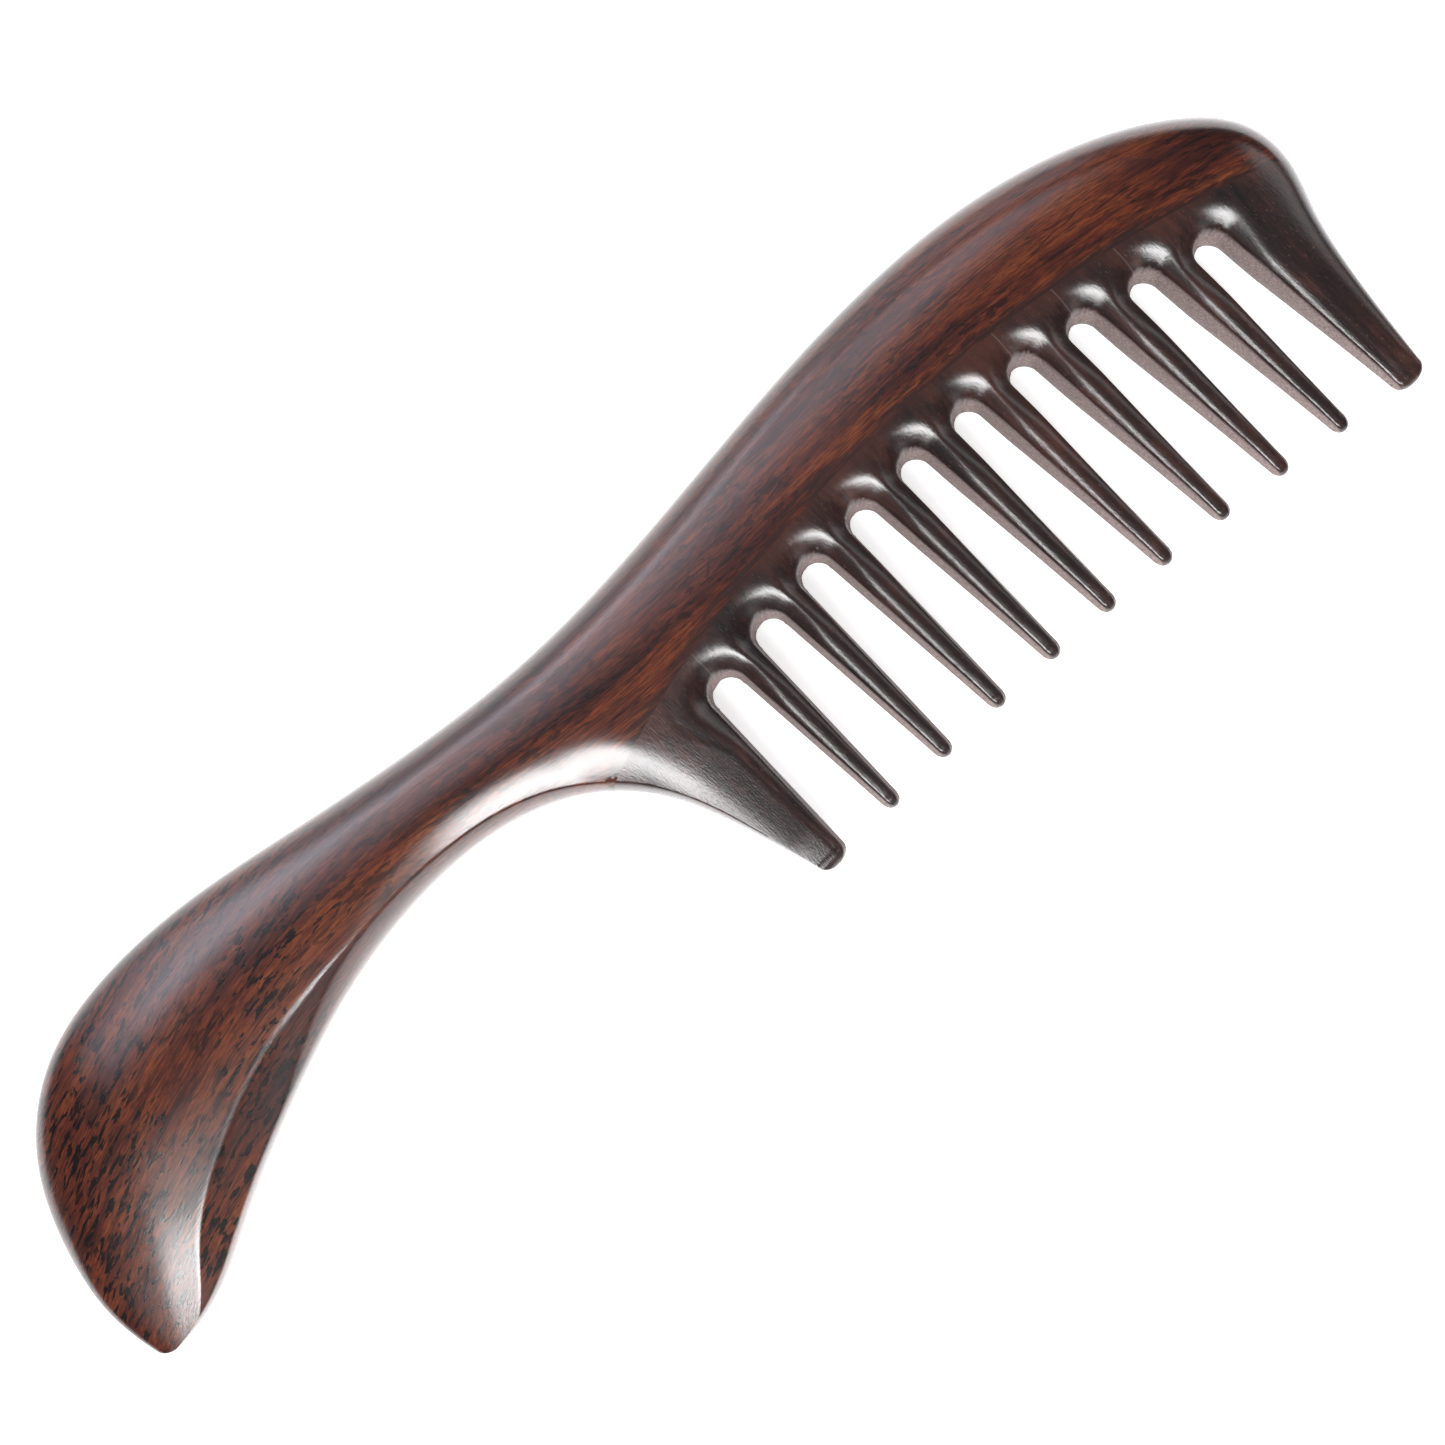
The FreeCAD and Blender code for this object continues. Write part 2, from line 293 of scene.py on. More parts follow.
def corner_circle():
    """Circle that rounds the corner of the handle tip, touching both outlines."""
    step, share = 0.01, 0.5
    centre = handle_tip + [3.0, 3.0]
    for _ in range(60):
        d = np.array([distance_inside(centre[None], back_line, -1)[0],
                      distance_inside(centre[None], inner_line, 1)[0]])
        miss = d - tip_corner_radius
        slope = []
        for way in ([step, 0.0], [0.0, step]):
            moved = (centre + way)[None]
            slope.append([(distance_inside(moved, back_line, -1)[0] - d[0]) / step,
                          (distance_inside(moved, inner_line, 1)[0] - d[1]) / step])
        centre = centre - share * np.linalg.solve(np.array(slope).T, miss)
    return centre


def nearest_on(line, point):
    return line[np.hypot(*(line - point).T).argmin()]


def corner_height(points):
    """Roll round the corner of the handle tip, high everywhere else."""
    out = points - corner_at
    r = np.hypot(*out.T)
    angle = np.arctan2(out[:, 1], out[:, 0])
    share = np.clip((angle - corner_from) / (corner_to - corner_from), 0, 1)
    within = (angle > corner_from) & (angle < corner_to)
    reach = back_reach(corner_at[0]) * (1 - share) + inner_reach(corner_at[0]) * share
    return np.where(within, roll_height(tip_corner_radius - r, reach), 2 * half_thick)


def tip_fall_height(points):
    """The end of the handle, falling away towards its tip."""
    s = np.clip((points - handle_tip) @ tip_fall_way, 0, None)
    top = tip_fall_slope / (2 * tip_fall_easing)
    near = tip_fall_start + tip_fall_slope * s - tip_fall_easing * s * s
    far = tip_fall_start + tip_fall_slope * top / 2 + (s - top) * tip_fall_after
    aside = (points - handle_tip) @ [-tip_fall_way[1], tip_fall_way[0]]
    return (np.where(s < top, near, far)
            - tip_turn * (aside + np.sqrt(aside ** 2 + tip_turn_blend)) / 2)


def gap_height(points, crown, index):
    """Height of the flank, the rounding and the scoop beside one gap."""
    centre, half = gap_centre(index)
    local = points - centre
    a = local @ across_gap
    b = local @ along_tooth
    y = centre[1] + np.minimum(b, 0)
    r = np.where(b > 0, np.hypot(a, b), np.abs(a))
    inside = r - gap_half(y)
    near_root = smooth_step(b, *root_zone)
    reach = scoop_share * tooth_width(y) + scoop_root * near_root
    flank = sawn_share * crown * np.sign(inside) * (np.abs(inside) / sawn_in) ** sawn_power
    t = inside / reach
    flank *= 1 - root_drop * near_root
    power = cap_power + (root_power - cap_power) * near_root
    rise = cap_rise + (root_rise - cap_rise) * near_root
    cap = crown * (1 - rise * np.clip(1 - t, 0, None) ** power
                   + cap_beyond * np.clip(t - 1, 0, None))
    return soft_min(flank, cap, flank_blend)


def tip_ease(points):
    """Thins the last few mm of the teeth."""
    left = np.clip(1 - (points[:, 1] - tip_line_y(points[:, 0])) / tip_thin_over, 0, 1)
    return 1 - tip_thin * left ** 2


def surface_height(points, gaps):
    """Height of the upper surface above the middle plane, below 0 outside the comb."""
    x = points[:, 0]
    back = roll_height(distance_inside(points, back_line, -1), back_reach(x))
    inner_d = distance_inside(points, inner_line, 1)
    inner = roll_height(inner_d, inner_reach(x))
    bevelled = smooth_step(x, bevel_from, bevel_to)
    bevel = np.minimum(roll_height(inner_d, bevel_roll), bevel_start + bevel_slope * inner_d)
    inner += (bevel - inner) * bevelled
    crown = crown_height(points) * tip_ease(points)
    height = soft_min(crown, inner_face_height(crown, inner_d, x), hollow_blend)
    height = soft_min(height, tip_fall_height(points), tip_blend)
    height = soft_min(height, back, back_blend)
    height = soft_min(height, inner, inner_blend + (bevel_blend - inner_blend) * bevelled)
    height = np.minimum(height, corner_height(points))
    for index in gaps:
        height = soft_min(height, gap_height(points, crown, index), gap_blend)
    return height


corner_at = corner_circle()
corner_back = nearest_on(back_line, corner_at) - corner_at
corner_inner = nearest_on(inner_line, corner_at) - corner_at
corner_from = math.atan2(corner_back[1], corner_back[0])
corner_to = math.atan2(corner_inner[1], corner_inner[0])
if corner_from > 0:
    corner_from -= 2 * math.pi

# ------------------------------------------------------------------- meshing by rows

flank_points, root_points, axis_points = 64, 17, 17    # down one side of a gap
tip_points = 13              # round the tip of a tooth
corner_points = 9            # along each half of the corner of the handle
arch_points = 160            # along the joint
slender_columns, broad_columns, spine_columns = 32, 56, 72
joint_ease = 6               # how late the rows of a tooth bend to the joint arch
neck_from, head_from, head_top = -30, 60, 29   # where the outline of an end tooth begins
thinnest = 0.01              # half thickness below which an edge is closed
weld_distance, smallest_edge = 2e-6, 1e-7      # in metres
sharp_angle = math.radians(50)


def even(low, high, count):
    return np.linspace(low, high, count)


def clustered(count):
    """0 to 1 with points crowded at both ends, where the surface stands upright."""
    return (1 - np.cos(np.pi * even(0, 1, count))) / 2


def cut_line(line, crossed):
    """The points where a polyline crosses y = crossed(x)."""
    gap = line[:, 1] - crossed(line[:, 0])
    k = np.nonzero(np.diff(np.sign(gap)))[0]
    return [line[i] + (line[i + 1] - line[i]) * gap[i] / (gap[i] - gap[i + 1]) for i in k]


def gap_side_path(index, sign, start_b):
    """Down one side of a gap: the axis above it, the round root and the straight flank.
    Runs from the tip end up to the joint. sign is 1 on the side towards the head."""
    centre, half = gap_centre(index)
    b = even(start_b, 0, flank_points)[:-1]
    flank = [centre + sign * gap_half(centre[1] + v) * across_gap + v * along_tooth for v in b]
    turn = even(0, math.pi / 2, root_points)
    root = [centre + half * (sign * math.cos(v) * across_gap + math.sin(v) * along_tooth)
            for v in turn]
    x = gap_x(index, joint_arch_top)
    for _ in range(8):
        x = gap_x(index, joint_y(x))
    top = np.array([x, joint_y(x)])
    axis = [root[-1] + (top - root[-1]) * v for v in even(0, 1, axis_points)[1:]]
    return np.array(flank + root + axis)


def outline_path(line, top, start_b, levels):
    """The outer side of an end tooth, at the same share of its height as the other side."""
    b = line @ along_tooth
    a = line @ across_gap
    order = np.argsort(b)
    share = (levels - levels[0]) / (levels[-1] - levels[0])
    at = start_b + (top @ along_tooth - start_b) * share
    across = np.interp(at, b[order], a[order])
    path = across[:, None] * across_gap + at[:, None] * along_tooth
    path[-1] = top
    return path


def patch(left, right, top, columns):
    """Rows of points from left to right, easing into the curved last row."""
    t = clustered(columns)[None, :, None]
    rows = left[:, None] * (1 - t) + right[:, None] * t
    last = top - rows[-1]
    ease = even(0, 1, len(left))[:, None, None] ** joint_ease
    return rows + last[None] * ease


def joint_row(x_left, x_right, columns):
    x = x_left + (x_right - x_left) * clustered(columns)
    return np.stack([x, joint_y(x)], 1)


neck_line = inner_line[inner_line[:, 0] > neck_from]
head_line = back_line[back_line[:, 0] > head_from]
inner_meets_joint = cut_line(neck_line, joint_y)[0]
back_meets_joint = cut_line(head_line, joint_y)[-1]


def tooth_rows(index, columns):
    """Upper surface of a tooth as rows of (x, y, z), from the tip up to the joint."""
    left_gap, right_gap = index - 1, index
    if index in (0, gap_count):
        middle = end_tips[index > 0]
    else:
        middle = (gap_x(index - 1, 0) + gap_x(index, 0)) / 2
    centre = np.array([middle, tip_line_y(middle) + tip_length])
    tip_b = centre @ along_tooth

    def side(gap, sign):
        return gap_side_path(gap, sign, tip_b - gap_centre(gap)[0] @ along_tooth)

    if index > 0:
        left = side(left_gap, 1)
    if index < gap_count:
        right = side(right_gap, -1)
    if index == 0:
        left = outline_path(neck_line, inner_meets_joint, tip_b, right @ along_tooth)
    if index == gap_count:
        right = outline_path(head_line[head_line[:, 1] < head_top], back_meets_joint, tip_b,
                             left @ along_tooth)
    top = joint_row(left[-1, 0], right[-1, 0], columns)
    body = patch(left, right, top, columns)
    gaps = [g for g in (left_gap, right_gap) if 0 <= g < gap_count]
    flat = body.reshape(-1, 2)
    height = np.clip(surface_height(flat, gaps), 0, None).reshape(body.shape[:2])

    # the tip: the section at the start of the tooth shrinks along a squared ellipse
    section, section_h = body[0], height[0]
    middle_point = (section[0] + section[-1]) / 2
    tip_rows, tip_heights = [], []
    for angle in even(0, math.pi / 2, tip_points)[:-1]:
        drop = math.cos(angle)
        size = (1 - drop ** tip_square) ** (1 / tip_square)
        tip_rows.append(middle_point + (section - middle_point) * size
                        - along_tooth * tip_length * drop)
        tip_heights.append(section_h * size)
    xy = np.concatenate([np.array(tip_rows), body])
    z = np.concatenate([np.array(tip_heights), height])
    return np.concatenate([xy, z[..., None]], 2)


def lengths(line):
    return np.concatenate([[0], np.cumsum(np.hypot(*np.diff(line, axis=0).T))])


def resample(line, count_between, anchors):
    """Points on a polyline, evenly between the anchor lengths."""
    s = lengths(line)
    at = np.concatenate([even(a, b, n + 1)[:-1] for a, b, n in
                         zip(anchors[:-1], anchors[1:], count_between)] + [[anchors[-1]]])
    return np.stack([np.interp(at, s, line[:, 0]), np.interp(at, s, line[:, 1])], 1)


def length_at(line, point):
    return lengths(line)[np.hypot(*(line - np.array(point)).T).argmin()]


def spine_rows(columns):
    """Upper surface of the spine and handle, rows from the handle tip to the head."""
    middle = (corner_from + corner_to) / 2

    def corner_arc(end):
        angles = even(middle, end, corner_points)
        return corner_at + tip_corner_radius * np.stack([np.cos(angles), np.sin(angles)], 1)

    # both sides start in the middle of the corner and end where the joint meets the back,
    # with no points crowded where one stretch goes over into the next
    low_start, high_start = corner_arc(corner_to), corner_arc(corner_from)
    rest = inner_line[(inner_line[:, 0] > low_start[-1, 0] + 0.3)
                      & (inner_line[:, 0] < inner_meets_joint[0])]
    arch = np.linspace(inner_meets_joint[0], back_meets_joint[0], arch_points)[1:]
    low = np.concatenate([low_start, rest, [inner_meets_joint],
                          np.stack([arch, joint_y(arch)], 1)])
    rest = back_line[length_at(back_line, high_start[-1]) + 0.4 < lengths(back_line)]
    rest = rest[lengths(rest) < length_at(rest, back_meets_joint) - 0.2]
    high = np.concatenate([high_start, rest, [back_meets_joint]])
    # stretches of rows: how many, then where the last one meets the low and the high side
    stretches = [
        (26, (-79, 6.7), (-93.3, 14)), (28, (-70, 12), (-88, 32)),
        (34, (-60, 17.5), (-72, 41)), (44, (-39, 24.8), (-44, 40.6)),
        (62, inner_meets_joint, (-13, 38.6)), (66, (20, joint_y(20.0)), (17, 42.6)),
        (70, (55, 33.1), (57, 47.8)), (50, (76, joint_y(76.0)), (81, 43.2)),
        (30, (87, joint_y(87.0)), (92.4, 35.5)), (24, low[-1], high[-1]),
    ]
    counts, low_ends, high_ends = zip(*stretches)
    low = resample(low, counts, [0] + [length_at(low, p) for p in low_ends])
    high = resample(high, counts, [0] + [length_at(high, p) for p in high_ends])
    t = clustered(columns)[None, :, None]
    xy = low[:, None] * (1 - t) + high[:, None] * t
    flat = xy.reshape(-1, 2)
    z = np.clip(surface_height(flat, range(gap_count)), 0, None).reshape(xy.shape[:2])
    return np.concatenate([xy, z[..., None]], 2)


def grain_of(points):
    """Grain coordinates of the spine wood: along it, and across it past its slow bends."""
    x, y = points.T
    line = smooth_curve(grain_bends)
    return x, y - np.interp(x, line[:, 0], line[:, 1])


def part_pinches(height):
    """Raises the inner ends of the edges along which the top and the bottom would touch
    with wood on both sides. Says whether there were any."""
    solid = np.maximum(np.maximum(height[:-1, :-1], height[:-1, 1:]),
                       np.maximum(height[1:, :-1], height[1:, 1:])) > 0
    flat = height == 0
    along = np.argwhere(flat[1:-1, :-1] & flat[1:-1, 1:] & solid[:-1] & solid[1:])
    down = np.argwhere(flat[:-1, 1:-1] & flat[1:, 1:-1] & solid[:, :-1] & solid[:, 1:])
    ends = [(r + 1, c + k) for r, c in along for k in (0, 1)]
    ends += [(r + k, c + 1) for r, c in down for k in (0, 1)]
    ends = [(r, c) for r, c in ends
            if 0 < r < height.shape[0] - 1 and 0 < c < height.shape[1] - 1]
    for r, c in ends:
        height[r, c] = thinnest
    return bool(ends)


def make_piece(name, rows, joint):
    """A closed mesh from the rows of an upper surface, mirrored below. joint lists the
    (row, column, depth) points along the glued faces. A depth above 0 makes the hidden
    tongue or groove there. Everywhere else the top and the bottom meet at the edge."""
    count, columns = rows.shape[:2]
    at = np.arange(count * columns).reshape(count, columns)
    glued = {at[r, c] for r, c, _ in joint[1:-1]}
    top = rows.reshape(-1, 3).copy()
    for k in np.concatenate([at[0], at[-1], at[:, 0], at[:, -1]]):
        if k not in glued:
            top[k, 2] = 0
    top[top[:, 2] < thinnest, 2] = 0
    while part_pinches(top[:, 2].reshape(count, columns)):
        pass
    vertices = [top, top * [1, 1, -1]]
    upper = np.stack([at[:-1, :-1], at[:-1, 1:], at[1:, 1:], at[1:, :-1]], -1).reshape(-1, 4)
    upper = upper[top[upper, 2].max(1) > 0]
    # a face with two closed corners opposite each other is split between the other two
    closed = top[upper, 2] == 0
    split_a, split_b = closed[:, 0] & closed[:, 2], closed[:, 1] & closed[:, 3]
    thirds = np.concatenate([upper[split_a][:, [0, 1, 3]], upper[split_a][:, [1, 2, 3]],
                             upper[split_b][:, [0, 1, 2]], upper[split_b][:, [0, 2, 3]]])
    upper = upper[~(split_a | split_b)]
    faces = [upper, upper[:, ::-1] + len(top)]
    rim = np.array([at[r, c] for r, c, _ in joint])
    walls = []
    for k, (_, _, depth) in zip(rim, joint):
        x, y, height = top[k]
        edge = min(tongue_half, height)
        for back, z in ((0, edge), (depth, edge), (depth, -edge), (0, -edge)):
            walls.append((x - math.tan(lean) * back, y + back, z))
    vertices.append(np.array(walls))
    inner = 2 * len(top) + np.arange(len(walls)).reshape(-1, 4)
    strip = np.concatenate([rim[:, None], inner, rim[:, None] + len(top)], 1)
    faces.append(np.stack([strip[:-1, :-1], strip[1:, :-1], strip[1:, 1:], strip[:-1, 1:]],
                          -1).reshape(-1, 4))
    vertices = np.concatenate(vertices)
    faces = (np.concatenate(faces).tolist() + thirds.tolist()
             + (thirds[:, ::-1] + len(top)).tolist())
    mesh = bpy.data.meshes.new(name)
    mesh.from_pydata(((vertices + comb_to_row) * mm).tolist(), [], faces)
    obj = bpy.data.objects.new(name, mesh)
    bpy.context.scene.collection.objects.link(obj)
    weld(obj)
    mesh.shade_smooth()
    mesh.set_sharp_from_angle(angle=sharp_angle)
    return obj


def weld(obj):
    """Joins the top to the bottom along the edges, and drops what has no area."""
    mesh = bmesh.new()
    mesh.from_mesh(obj.data)
    bmesh.ops.remove_doubles(mesh, verts=mesh.verts, dist=weld_distance)
    bmesh.ops.dissolve_degenerate(mesh, edges=mesh.edges, dist=smallest_edge)
    loose = [v for v in mesh.verts if not v.link_faces]
    bmesh.ops.delete(mesh, geom=loose, context="VERTS")
    bmesh.ops.recalc_face_normals(mesh, faces=mesh.faces)
    mesh.to_mesh(obj.data)
    mesh.free()


def piece_points(obj):
    """The points of a piece, in mm in the comb's axes."""
    points = np.empty(len(obj.data.vertices) * 3)
    obj.data.vertices.foreach_get("co", points)
    return points.reshape(-1, 3) / mm - comb_to_row


def store(obj, name, values):
    layer = obj.data.attributes.new(name, "FLOAT_VECTOR", "POINT")
    layer.data.foreach_set("vector", np.ascontiguousarray(values, np.float32).ravel())


def add_grain(obj):
    """Stores the grain coordinates, in mm, on the points of the spine."""
    points = piece_points(obj)
    along, across = grain_of(points[:, :2])
    store(obj, "grain", np.stack([along, across, points[:, 2]], 1))


def add_marks_and_highlight(obj):
    """Stores where the surface is sawn, its height over the joint, and where a thin highlight
    is painted along the joints.
    """
    points = piece_points(obj)[:, :2]
    edge = np.full(len(points), np.inf)
    painted_line = np.zeros(len(points))
    for index in range(gap_count):
        centre, half = gap_centre(index)
        a = (points - centre) @ across_gap
        b = (points - centre) @ along_tooth
        r = np.where(b > 0, np.hypot(a, b), np.abs(a))
        edge = np.minimum(edge, r - gap_half(centre[1] + np.minimum(b, 0)))
        # a thin light line painted along the joint above these gaps: a painted highlight
        if index in painted_line_gaps:
            painted_line = np.maximum(painted_line, np.exp(-(a / painted_line_width) ** 2) * (b > half))
    sawn = np.clip((sawn_in + sawn_border / 2 - edge) / sawn_border, 0, 1)
    height = points[:, 1] - joint_y(points[:, 0])
    store(obj, "marks_and_highlight", np.stack([sawn, height, painted_line * (height < 0)], 1))


def joint_points(cells, rows, depth):
    """Adds the depth of the tongue or groove to grid points along the joint arch. Its end
    faces are two points in one place."""
    points, last = [], 0.0
    for r, c in cells:
        here = depth if tongue_start < rows[r, c, 0] < tongue_end else 0.0
        if here != last:
            points.append((r, c, last))
        points.append((r, c, here))
        last = here
    if last > 0:
        points.append(cells[-1] + (0.0,))
    return points


def tooth_piece(name, index):
    columns = broad_columns if index in (0, gap_count) else slender_columns
    rows = tooth_rows(index, columns)
    last = len(rows) - 1
    root = last - (axis_points - 1)
    joint = []
    if index > 0:
        joint += [(r, 0, 0.0) for r in range(root, last)]
    joint += joint_points([(last, c) for c in range(columns)], rows, tongue_height)
    if index < gap_count:
        joint += [(r, columns - 1, 0.0) for r in range(last - 1, root - 1, -1)]
    obj = make_piece(name, rows, joint)
    add_marks_and_highlight(obj)
    return obj


def spine_piece(name):
    rows = spine_rows(spine_columns)
    x, y = rows[:, 0, :2].T
    on_joint = (x >= inner_meets_joint[0] - 0.01) & (np.abs(y - joint_y(x)) < 0.05)
    cells = [(r, 0) for r in np.flatnonzero(on_joint)]
    obj = make_piece(name, rows, joint_points(cells, rows, tongue_height + glue_room))
    add_grain(obj)
    add_marks_and_highlight(obj)
    return obj


# ------------------------------------------------------------------------- materials


def node(tree, kind, inputs=(), **settings):
    made = tree.nodes.new("ShaderNode" + kind)
    for key, value in settings.items():
        setattr(made, key, value)
    for key, value in dict(inputs).items():
        socket = made.inputs[key]
        if isinstance(value, bpy.types.NodeSocket):
            tree.links.new(value, socket)
        else:
            socket.default_value = value
    return made


def math_node(tree, operation, a, b=0.5, clamp=False):
    return node(tree, "Math", {0: a, 1: b}, operation=operation, use_clamp=clamp).outputs[0]


def stretched(tree, vector, scale, shift=(0, 0, 0)):
    return node(tree, "Mapping", {"Vector": vector, "Scale": scale,
                                  "Location": shift}).outputs[0]


def noise(tree, vector, detail, rough=0.55, twist=0.0):
    made = node(tree, "TexNoise", {"Vector": vector, "Scale": 1.0, "Detail": detail,
                                   "Roughness": rough, "Distortion": twist})
    return made.outputs["Fac"]


def ramp(tree, value, stops):
    made = node(tree, "ValToRGB", {"Fac": value})
    bar = made.color_ramp
    while len(bar.elements) < len(stops):
        bar.elements.new(0.5)
    for element, (position, colour) in zip(bar.elements, stops):
        element.position = position
        element.color = colour + (1,)
    return made.outputs["Color"]


def grey_ramp(tree, value, low, high, out_low=0.0, out_high=1.0):
    return node(tree, "MapRange", {"Value": value, "From Min": low, "From Max": high,
                                   "To Min": out_low, "To Max": out_high}).outputs[0]


def mixed(tree, share, below, over):
    """The colour below, covered by the plain colour or the colour socket over it."""
    made = node(tree, "Mix", {0: share}, data_type="RGBA")
    tree.links.new(below, made.inputs[6])
    if isinstance(over, bpy.types.NodeSocket):
        tree.links.new(over, made.inputs[7])
    else:
        made.inputs[7].default_value = over + (1,)
    return made.outputs[2]


def relief(tree, shader, height, strength, distance):
    """Bumps in the wood and in its finish."""
    bump = node(tree, "Bump", {"Height": height, "Strength": strength, "Distance": distance})
    for name in ("Normal", "Coat Normal"):
        tree.links.new(bump.outputs[0], shader.inputs[name])


def stored(tree, name):
    """A vector stored on the points of a piece."""
    return node(tree, "Attribute", attribute_name=name).outputs["Vector"]


def split(tree, vector):
    return node(tree, "SeparateXYZ", {0: vector}).outputs


def average(tree, a, b):
    return math_node(tree, "ADD", math_node(tree, "MULTIPLY", a, 0.5),
                     math_node(tree, "MULTIPLY", b, 0.5))


def new_material(name):
    material = bpy.data.materials.new(name)
    material.use_nodes = True
    tree = material.node_tree
    tree.nodes.clear()
    output = tree.nodes.new("ShaderNodeOutputMaterial")
    shader = tree.nodes.new("ShaderNodeBsdfPrincipled")
    tree.links.new(shader.outputs[0], output.inputs[0])
    return material, tree, shader


def gloss(shader, under, roughness):
    """Polished oil finish, with its roughness and the gloss of the wood under it."""
    shader.inputs["IOR"].default_value = 1.5
    shader.inputs["Specular IOR Level"].default_value = under
    shader.inputs["Coat Weight"].default_value = 1.0
    shader.inputs["Coat Roughness"].default_value = roughness
    shader.inputs["Coat IOR"].default_value = 1.6


def red_brown_wood():
    """Spine wood: long streaks of red-brown and dark brown, with dark dashes and veins."""
    material, tree, shader = new_material("red_brown_wood")
    grain = stored(tree, "grain")
    over_joint = split(tree, stored(tree, "marks_and_highlight"))[1]
    broad = noise(tree, stretched(tree, grain, (0.022, 0.26, 0.12)), 3.0, 0.5, 0.6)
    streak = noise(tree, stretched(tree, grain, (0.10, 1.1, 0.5)), 5.0, 0.66, 0.9)
    fibre = noise(tree, stretched(tree, grain, (0.55, 6.5, 3.0)), 3.0, 0.65, 0.3)
    colour = ramp(tree, average(tree, broad, streak), [
        (0.36, (0.020, 0.006, 0.005)), (0.44, (0.052, 0.011, 0.007)),
        (0.50, (0.092, 0.019, 0.009)), (0.56, (0.132, 0.030, 0.011)),
        (0.66, (0.170, 0.046, 0.016))])
    colour = mixed(tree, grey_ramp(tree, fibre, 0.40, 0.62, 0.0, 0.75), colour,
                   (0.020, 0.007, 0.006))
    # short dark dashes, mostly on the handle
    dashes = noise(tree, stretched(tree, grain, (0.50, 1.8, 1.0)), 2.0, 0.5, 0.5)
    patchy = noise(tree, stretched(tree, grain, (0.06, 0.13, 0.1), (3, 1, 0)), 1.0)
    along = split(tree, grain)[0]
    where = math_node(tree, "ADD", grey_ramp(tree, patchy, 0.30, 0.54),
                      grey_ramp(tree, along, -40.0, -60.0, -0.35, 0.35), clamp=True)
    shown = math_node(tree, "MULTIPLY", grey_ramp(tree, dashes, 0.53, 0.59), where)
    colour = mixed(tree, shown, colour, (0.006, 0.003, 0.003))
    # thin dark veins along the grain
    wavy = noise(tree, stretched(tree, grain, (0.040, 0.62, 0.3), (7, 2, 0)), 3.0, 0.5, 0.4)
    off_vein = math_node(tree, "ABSOLUTE", math_node(tree, "SUBTRACT", wavy, 0.5))
    colour = mixed(tree, grey_ramp(tree, off_vein, 0.002, 0.018, 0.8, 0.0), colour,
                   (0.008, 0.004, 0.004))
    # towards the teeth the wood darkens in an uneven edge
    near_joint = math_node(tree, "ADD", over_joint,
                           grey_ramp(tree, streak, 0.3, 0.7, -1.3, 1.3))
    colour = mixed(tree, grey_ramp(tree, near_joint, 1.7, -0.2), colour, (0.022, 0.011, 0.010))
    tree.links.new(colour, shader.inputs["Base Color"])
    pores = noise(tree, stretched(tree, grain, (0.8, 9.0, 6.0)), 2.0, 0.5)
    tree.links.new(grey_ramp(tree, pores, 0.3, 0.7, 0.30, 0.42), shader.inputs["Roughness"])
    relief(tree, shader, pores, 0.22, 0.06 * mm)
    gloss(shader, 0.15, 0.17)
    return material


def dark_wood():
    """Tooth wood: near black, with fine light pores running along the teeth, and flanks
    left matte from the saw."""
    material, tree, shader = new_material("dark_wood")
    place = node(tree, "TexCoord").outputs["Object"]
    turned = node(tree, "Mapping", {"Vector": place, "Rotation": (0, 0, -lean),
                                    "Scale": (1 / mm,) * 3}).outputs[0]
    sawn, over_joint, painted_line = split(tree, stored(tree, "marks_and_highlight"))
    broad = noise(tree, stretched(tree, turned, (0.16, 0.035, 0.16)), 3.0, 0.5, 0.5)
    streak = noise(tree, stretched(tree, turned, (1.6, 0.16, 1.2)), 4.0, 0.6, 0.3)
    colour = ramp(tree, average(tree, broad, streak), [
        (0.32, (0.008, 0.006, 0.007)), (0.50, (0.021, 0.011, 0.010)),
        (0.68, (0.056, 0.022, 0.017))])
    pores = noise(tree, stretched(tree, turned, (7.5, 1.5, 7.0)), 2.0, 0.5)
    colour = mixed(tree, grey_ramp(tree, pores, 0.66, 0.74, 0.0, 0.5), colour,
                   (0.14, 0.075, 0.055))
    # reddish patches reach over the joint from the spine
    near_joint = math_node(tree, "ADD", over_joint,
                           grey_ramp(tree, broad, 0.3, 0.7, -2.2, 1.4))
    colour = mixed(tree, grey_ramp(tree, near_joint, -2.4, 0.6, 0.0, 0.7), colour,
                   (0.052, 0.018, 0.013))
    saw_marks = noise(tree, stretched(tree, turned, (3.0, 3.0, 9.0)), 3.0, 0.7)
    matte = ramp(tree, saw_marks, [
        (0.30, (0.11, 0.08, 0.075)), (0.55, (0.28, 0.22, 0.21)), (0.75, (0.50, 0.41, 0.39))])
    colour = mixed(tree, sawn, colour, matte)
    # painted highlight: a thin light line along the joints above some gaps
    colour = mixed(tree, math_node(tree, "MULTIPLY", painted_line, 0.18), colour, (0.30, 0.22, 0.18))
    tree.links.new(colour, shader.inputs["Base Color"])
    grit = noise(tree, stretched(tree, turned, (6.0, 0.9, 6.0)), 3.0, 0.6)
    polished = grey_ramp(tree, grit, 0.3, 0.7, 0.28, 0.42)
    rough = node(tree, "MapRange", {"Value": sawn, "To Min": polished, "To Max": 0.8})
    tree.links.new(rough.outputs[0], shader.inputs["Roughness"])
    height = math_node(tree, "ADD", grit, math_node(
        tree, "MULTIPLY", saw_marks, math_node(tree, "MULTIPLY", sawn, 2.5)))
    relief(tree, shader, height, 0.25, 0.1 * mm)
    gloss(shader, 0.12, 0.21)
    # polished round the roots, satin down the teeth
    polish = grey_ramp(tree, over_joint, -13.0, -8.0, 0.72, 1.0)
    coat = node(tree, "MapRange", {"Value": sawn, "To Min": polish, "To Max": 0.1})
    tree.links.new(coat.outputs[0], shader.inputs["Coat Weight"])
    return material


# --------------------------------------------------------------------------- pieces

